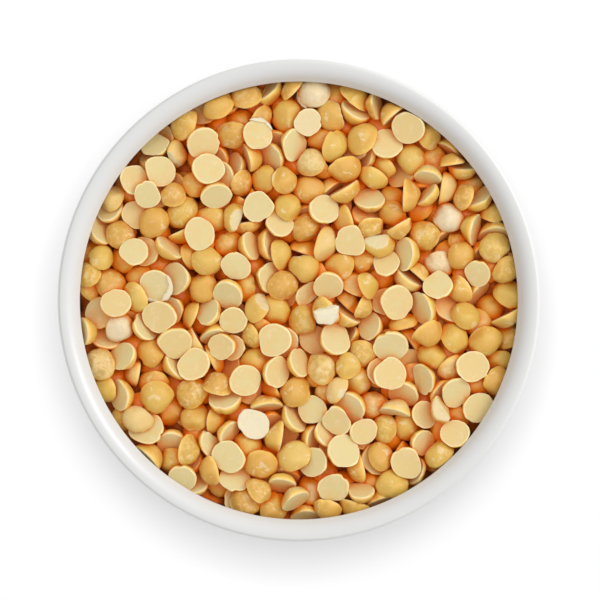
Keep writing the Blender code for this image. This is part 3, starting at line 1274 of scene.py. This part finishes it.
def dome_colour(finish, settings, place, cloud, mottle, mark):
    """The dome: yellow to orange from pea to pea, with pale blotches, brown mottling that paints shade in
    its hollows, and fine pits.
    """
    tone = finish.attribute("pea_tone")
    wrinkle = finish.attribute("pea_wrinkle")
    pit = finish.noise(finish.shift(place, (5.0, 1.0, 8.0)), 2.6, 1.0)
    brown = darker(settings.dome_orange, 0.78)
    warmth = (tone * 1.3 + cloud * 0.8 - 0.6).above(0.0, 1.0)
    colour = finish.mix(warmth, settings.dome_yellow, settings.dome_orange)
    colour = finish.mix((1 - tone).above(0.80, 0.95) * 0.4, colour, settings.pale)
    # Brown mottling of the pea's own and painted shade: the brown lies where the relief below is low, in
    # the hollows.
    colour = finish.mix((1 - mottle).above(0.42, 0.70) * wrinkle * 0.55, colour, brown)
    colour = finish.mix(mottle.above(0.48, 0.70) * (wrinkle * 0.5 + 0.08), colour, settings.pale)
    colour = finish.mix(mark.above(0.60, 0.66) * 0.6, colour, settings.pale)
    colour = finish.mix(pit.above(0.68, 0.76) * 0.45, colour, settings.pale)
    colour = finish.mix((1 - pit).above(0.70, 0.78) * 0.35, colour, brown)
    relief = mottle * (0.3 + wrinkle * 1.0)
    return colour, relief, pit


def pea_finish(settings):
    """Dry pea flesh: a matte cream face, a pale line round it that is partly a painted highlight, a yellow
    band under that line, and a satin dome, with painted shade in the gaps between the peas.
    """
    finish = Finish("split_pea_flesh")
    place = finish.attribute("pea_place", "Vector")
    face = finish.attribute("pea_face")
    line = finish.attribute("pea_line")
    band = finish.attribute("pea_band")
    pale = finish.attribute("pea_pale")
    shade = finish.attribute("pea_shade")
    cloud = finish.noise(place, 0.45, 3.0)
    mottle = finish.noise(place, 0.75, 3.0, 0.55, 0.6)
    grain = finish.noise(place, 9.0, 2.0)
    scuff = finish.noise(finish.shift(place, (7.0, 3.0, 5.0)), 0.8, 4.0, 0.7)
    mark = finish.noise(finish.shift(place, (2.0, 9.0, 4.0)), 0.42, 3.0, 0.6, 0.4)
    crumb = finish.noise(finish.shift(place, (1.0, 6.0, 2.0)), 1.5, 3.0, 0.65)
    dome, dome_relief, pit = dome_colour(finish, settings, place, cloud, mottle, mark)
    tinge = (cloud + finish.attribute("pea_tone") * 0.6).above(0.55, 1.0) * 0.9
    flat = finish.mix(tinge, settings.face, settings.face_warm)
    flat = finish.mix(mark.above(0.58, 0.68) * 0.35, flat, settings.pale)
    colour = finish.mix(face, dome, flat)
    colour = finish.mix(band * 0.9, colour, settings.band)
    # The pale line round the face is partly a painted highlight on its rounded edge.
    colour = finish.mix(line * (cloud.above(0.35, 0.6) * 0.5 + 0.4), colour, settings.line)
    colour = finish.mix(scuff.above(0.56, 0.66) * line * 0.9, colour, settings.white)
    colour = finish.mix(crumb.above(0.63, 0.70) * (line * 0.5 + face * 0.3 + 0.1), colour, settings.white)
    colour = finish.mix(pale * (scuff * 0.8 + 0.55).above(0.4, 1.0), colour, settings.white)
    colour = finish.mix(grain.above(0.62, 0.75) * 0.08, colour, settings.dome_orange)
    # Painted shade: in the gaps the light has gone from pea to pea, so that little but orange is left of
    # it, and this shade is painted into the colour by how much sky the heap hides from each point.
    colour = finish.mix(shade.above(0.04, 0.56) * (1 - face * 0.45), colour, settings.depth, "MULTIPLY")
    colour = finish.mix(shade.above(0.14, 0.82) * (0.75 - face * 0.3), colour, settings.glow)
    relief = grain * 0.25 + crumb.above(0.60, 0.70) * 0.4 + pit.above(0.5, 0.8) * 0.3
    return finish.surface(
        Base_Color=colour,
        Roughness=0.40 + face * 0.22 + cloud * 0.08 - line * 0.12,
        Subsurface_Weight=0.3,
        Subsurface_Radius=(1.0, 0.40, 0.12),
        Subsurface_Scale=0.9 * MM,
        Coat_Weight=(1 - face) * 0.15,
        Coat_Roughness=0.28,
        Normal=finish.bump(relief + dome_relief * (1 - face * 0.8), 0.14 * MM, 0.7),
    )


def bed_finish(settings):
    """Peas in the deep shade under the top layers, with that shade painted: dark red-orange, lumpy and
    darker between the lumps.
    """
    finish = Finish("shaded_peas")
    place = finish.node("ShaderNodeTexCoord", output="Object")
    lumps = finish.node("ShaderNodeTexVoronoi", {}, {"Vector": place, "Scale": 150.0})
    # Painted shade: the bed takes the colour of the deepest gaps, and half of it between its lumps.
    colour = finish.mix(lumps.above(0.1, 0.8), settings.glow, darker(settings.glow, 0.5))
    return finish.surface(Base_Color=colour, Roughness=0.7, Normal=finish.bump(lumps * -1, 1.0 * MM))


# A scrap of seed coat is a sheet of turns by steps with a second sheet over it. Lengths are in millimetres.
COAT_TURNS = 64
COAT_STEPS = 10
COAT_SKIN = 0.11  # how thick it is
COAT_ROUNDNESS = 0.6  # the less, the blunter its two ends
COAT_TEARS = (1, 2, 4, 7, 12)  # how many times the torn edge goes in and out, for each of its sizes
COAT_TEAR_DEPTH = (0.4, 1.0)
COAT_TEAR_PITCH = 5
COAT_TEAR_START = (0, 6)
COAT_EDGE = 0.45  # the part of its section that lies over the face
COAT_FALL_START = 0.30  # the part after which it runs down the dome
COAT_FALL = 0.42  # how far down it runs, as a share of the pea's thickness
COAT_TUCK = 0.12  # how far it bends in under the edge, as a share of the pea's radius
COAT_OFF = 0.10  # how far it is off the pea's edge where it fits closest
COAT_OVER = 0.16  # how far it is off the face
COAT_UNEVENNESS = 0.004
OUTLINE_STEPS = 96


def torn_edges(reach, loose, rng):
    """Where a scrap starts over the face, how far it stands off and how far it falls, turn by turn."""
    along = np.linspace(0, 1, COAT_TURNS)
    swell = np.sin(math.pi * along) ** COAT_ROUNDNESS
    torn = np.zeros(COAT_TURNS)
    for count in COAT_TEARS:
        depth = rng.uniform(*COAT_TEAR_DEPTH) / math.sqrt(count)
        torn += depth * np.sin(COAT_TEAR_PITCH * count * along + rng.uniform(*COAT_TEAR_START))
    inner = 1 - swell * np.maximum(reach * (1 + 0.55 * torn), 0.02)
    stand = COAT_OFF + loose * swell * np.maximum(0.7 + 0.35 * torn, 0.1)
    fall = COAT_FALL * swell * np.maximum(0.8 + 0.4 * torn[::-1], 0.1)
    return inner, stand, fall


def coat_points(pea, matrix, start, end, reach, loose, rng):
    """The points of a thin scrap that wraps a pea's edge between two turns, in degrees.

    It reaches over the face as far in as a share of the radius, and stands off the pea at its loose side.
    """
    turns = np.radians(np.linspace(start, end, COAT_TURNS))
    whole = WHOLE_TURN * np.arange(OUTLINE_STEPS + 1) / OUTLINE_STEPS
    outline = np.interp(turns % WHOLE_TURN, whole, pea.outline(whole))
    inner, stand, fall = torn_edges(reach, loose, rng)
    rows = []
    for lift in (0.0, COAT_SKIN):
        for step in np.linspace(0, 1, COAT_STEPS):
            # The section runs over the face to the edge, round it, and down the dome.
            over = min(step / COAT_EDGE, 1)
            if step < COAT_EDGE:
                out = inner + (1 - inner) * math.sin(over * math.pi / 2)
            else:
                out = 1 - COAT_TUCK * math.sin(math.pi * (step - COAT_EDGE)) ** 2
            drop = max(step - COAT_FALL_START, 0) / (1 - COAT_FALL_START)
            radius = pea.radius * outline * out + (stand + lift) * over
            height = -COAT_OVER - lift * (1 - over) + fall * pea.thickness * drop
            rows.append(np.stack((radius * np.cos(turns), radius * np.sin(turns), height), axis=-1))
    points = np.concatenate(rows)
    points[:, :2] *= 1 + COAT_UNEVENNESS * rng.normal(size=(len(points), 1))
    return placed(points, matrix, pea) * MM


def coat_faces():
    """The faces of a scrap's two sheets, which are closed along their border."""
    count = COAT_TURNS * COAT_STEPS
    faces = []
    for one, two, three, four in grid_faces(COAT_STEPS, COAT_TURNS):
        faces.append((one, four, three, two))
        faces.append((count + one, count + two, count + three, count + four))
    border = list(range(COAT_TURNS))
    border += [row * COAT_TURNS + COAT_TURNS - 1 for row in range(1, COAT_STEPS)]
    border += [(COAT_STEPS - 1) * COAT_TURNS + side for side in range(COAT_TURNS - 2, -1, -1)]
    border += [row * COAT_TURNS for row in range(COAT_STEPS - 2, 0, -1)]
    for one, other in zip(border, border[1:] + border[:1]):
        faces.append((one, other, count + other, count + one))
    return faces


def facing_turns(matrix, start, end):
    """A pea's own turns that lie over two bearings seen from above, all in degrees from +X towards +Y."""
    own = []
    for angle in (start, end):
        seen = np.array((math.cos(math.radians(angle)), math.sin(math.radians(angle)), 0.0))
        local = matrix[:3, :3].T @ seen
        own.append(math.degrees(math.atan2(local[1], local[0])))
    span = end - start
    low = own[0] if matrix[2, 2] > 0 else own[0] - span
    return low, low + span


def coats_mesh(heap, shares, rim, rng):
    """The scraps of seed coat, each round the edge of its pea, as one mesh."""
    points = []
    for pixel, face_up, start, end, reach, loose in COATS:
        pea, matrix = nearest(heap, shares, pixel, face_up, rim)
        turns = facing_turns(matrix, start, end)
        points.append(coat_points(pea, matrix, *turns, reach, loose, rng))
    return copied_mesh("seed_coats", np.concatenate(points), coat_faces(), len(COATS))


def coat_finish(settings):
    """Papery seed coat: off-white, matte and faintly streaked."""
    finish = Finish("seed_coat")
    place = finish.node("ShaderNodeTexCoord", output="Object")
    streak = finish.noise(place, 900.0, 4.0, 0.6)
    colour = finish.mix(streak.above(0.35, 0.75), settings.white, settings.pale)
    return finish.surface(
        Base_Color=colour,
        Roughness=0.6,
        Subsurface_Weight=0.2,
        Subsurface_Radius=(1.0, 0.7, 0.4),
        Subsurface_Scale=0.5 * MM,
        Normal=finish.bump(streak, 0.1 * MM, 0.6),
    )


FLOOR_SIDE = 3.0  # half of it
SENSOR_WIDTH = 36.0
LIGHT_DISTANCE = 0.75
# Each light: its name, the setting of its power, its width, its bearing and how high it stands, in degrees,
# and what it lights.
LIGHTS = (
    ("key_light", "key_power", 0.32, 28.0, 42.0, "dish"),
    ("pea_key_light", "pea_key_power", 0.32, 28.0, 42.0, "peas"),
    ("pea_soft_light", "pea_soft_power", 0.70, 60.0, 80.0, "peas"),
    ("shadow_light", "shadow_power", 0.20, 82.0, 84.0, "floor"),
)


def add_floor(settings):
    """A plain floor that glows a little by itself."""
    mesh = bpy.data.meshes.new("floor")
    corners = [(FLOOR_SIDE * x, FLOOR_SIDE * y, 0) for x, y in ((-1, -1), (1, -1), (1, 1), (-1, 1))]
    mesh.from_pydata(corners, [], [(0, 1, 2, 3)])
    floor = bpy.data.objects.new("floor", mesh)
    bpy.context.scene.collection.objects.link(floor)
    finish = Finish("plain_floor")
    glow = {"Emission_Color": (1.0, 1.0, 1.0), "Emission_Strength": settings.floor_glow}
    mesh.materials.append(finish.surface(Base_Color=settings.floor, Roughness=0.9, **glow))
    floor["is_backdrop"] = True
    return floor


def add_light(name, power, size, azimuth, elevation, receivers):
    """A square soft light that faces the dish and that only some objects get.

    Its bearing is counted from +X towards +Y.
    """
    data = bpy.data.lights.new(name, "AREA")
    data.energy = power
    data.size = size
    light = bpy.data.objects.new(name, data)
    away = Vector(bearing(math.radians(azimuth), math.radians(elevation)))
    light.location = away * LIGHT_DISTANCE
    light.rotation_euler = away.to_track_quat("Z", "Y").to_euler()
    bpy.context.scene.collection.objects.link(light)
    group = bpy.data.collections.new(name + "_receivers")
    for receiver in receivers:
        group.objects.link(receiver)
    light.light_linking.receiver_collection = group


def add_camera(scene, dish, settings):
    """A camera straight above the dish that frames it as the photo does."""
    data = bpy.data.cameras.new("camera")
    pixel = (dish.rim_radius / PHOTO_RIM_PIXELS) * (1 - LIP_OUTER_DROP * MM / settings.camera_height)
    data.sensor_width = SENSOR_WIDTH
    data.lens = SENSOR_WIDTH * settings.camera_height / (pixel * PHOTO_PIXELS)
    camera = bpy.data.objects.new("camera", data)
    middle = PHOTO_PIXELS / 2
    across = (middle - PHOTO_CENTRE[0]) * pixel
    along = (PHOTO_CENTRE[1] - middle) * pixel
    camera.location = (across, along, dish.height + settings.camera_height)
    scene.collection.objects.link(camera)
    scene.camera = camera


class SPLITPEAS_OT_dish(bpy.types.Operator):
    """Turn the glazed porcelain dish"""

    bl_idname = "split_peas.dish"
    bl_label = "Dish"

    def execute(self, context):
        settings = context.scene.dish_settings
        rim = settings.rim_radius / MM
        top = settings.height / MM
        profile = outer_wall(rim, top, TURNED_DETAIL) + inner_wall(rim, top, TURNED_DETAIL)
        mesh = turned_mesh("porcelain_dish", profile + [(0.0, FLOOR_HEIGHT)], TURNED_SIDES)
        add_piece("porcelain_dish", mesh, porcelain(settings), "porcelain", "dish")
        return {"FINISHED"}


class SPLITPEAS_OT_bed(bpy.types.Operator):
    """Make the bed under the loose peas, painted with their deep shade"""

    bl_idname = "split_peas.bed"
    bl_label = "Bed"

    def execute(self, context):
        dish = context.scene.dish_settings
        mesh = bed_mesh(dish.rim_radius / MM, dish.height / MM)
        add_piece("pea_bed", mesh, bed_finish(context.scene.pea_settings), "pea_flesh", "split_peas")
        return {"FINISHED"}


class SPLITPEAS_OT_peas(bpy.types.Operator):
    """Pour the peas and build each one where it came to rest"""

    bl_idname = "split_peas.peas"
    bl_label = "Peas"

    def execute(self, context):
        settings = context.scene.pea_settings
        dish = context.scene.dish_settings
        rim = dish.rim_radius / MM
        rng = np.random.default_rng(settings.seed)
        heap = poured_heap(settings, rim, dish.height / MM, rng)
        shares = heap.shown()
        mark_peas(heap, shares, rim)
        finish = pea_finish(settings)
        for name, parts in sorted_peas(heap, shares).items():
            around, rows = (AROUND_DEEP, ROWS_DEEP) if name == "deep" else (AROUND, ROWS)
            mesh = joined(f"{name}_peas", heap, parts, around, rows)
            add_piece(f"{name}_peas", mesh, finish, "pea_flesh", "split_peas")
        mesh = coats_mesh(heap, shares, rim, rng)
        add_piece("seed_coats", mesh, coat_finish(settings), "pea_flesh", "split_peas")
        return {"FINISHED"}


class SPLITPEAS_OT_stage(bpy.types.Operator):
    """Set up the floor, the lights and the camera"""

    bl_idname = "split_peas.stage"
    bl_label = "Stage"

    def execute(self, context):
        scene = context.scene
        settings = scene.stage_settings
        floor = add_floor(settings)
        receivers = {
            "floor": [floor],
            "dish": [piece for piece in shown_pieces() if piece.name == "porcelain_dish"],
            "peas": [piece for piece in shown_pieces() if piece.name != "porcelain_dish"],
        }
        for name, power, size, azimuth, elevation, lit in LIGHTS:
            add_light(name, getattr(settings, power), size, azimuth, elevation, receivers[lit])
        world = bpy.data.worlds.new("even_light")
        world.use_nodes = True
        background = world.node_tree.nodes["Background"]
        background.inputs["Color"].default_value = (1, 1, 1, 1)
        background.inputs["Strength"].default_value = settings.fill
        scene.world = world
        add_camera(scene, scene.dish_settings, settings)
        scene.view_settings.view_transform = "Standard"
        return {"FINISHED"}


class SPLITPEAS_PT_panel(bpy.types.Panel):
    """The dish's pieces and their settings"""

    bl_idname = "SPLITPEAS_PT_panel"
    bl_label = "Dish of Split Peas"
    bl_space_type = "VIEW_3D"
    bl_region_type = "UI"
    bl_category = "Split Peas"

    def draw(self, context):
        for title, group in zip(("Dish", "Peas", "Stage"), GROUPS):
            box = self.layout.box()
            box.label(text=title)
            settings = getattr(context.scene, group)
            for name in settings.__annotations__:
                box.prop(settings, name)
        for operator in OPERATORS:
            self.layout.operator(operator.bl_idname)


GROUPS = {"dish_settings": DishSettings, "pea_settings": PeaSettings, "stage_settings": StageSettings}
OPERATORS = (SPLITPEAS_OT_dish, SPLITPEAS_OT_bed, SPLITPEAS_OT_peas, SPLITPEAS_OT_stage)


def register():
    """Makes the settings, the operators and the panel known to Blender."""
    for kind in (*GROUPS.values(), *OPERATORS, SPLITPEAS_PT_panel):
        bpy.utils.register_class(kind)
    for name, group in GROUPS.items():
        setattr(bpy.types.Scene, name, PointerProperty(type=group))


def unregister():
    """Takes back what register did."""
    for name in GROUPS:
        delattr(bpy.types.Scene, name)
    for kind in (SPLITPEAS_PT_panel, *reversed(OPERATORS), *reversed(GROUPS.values())):
        bpy.utils.unregister_class(kind)


def main():
    """Builds everything."""
    register()
    bpy.ops.split_peas.dish()
    bpy.ops.split_peas.bed()
    bpy.ops.split_peas.peas()
    bpy.ops.split_peas.stage()


if __name__ == "__main__":
    main()
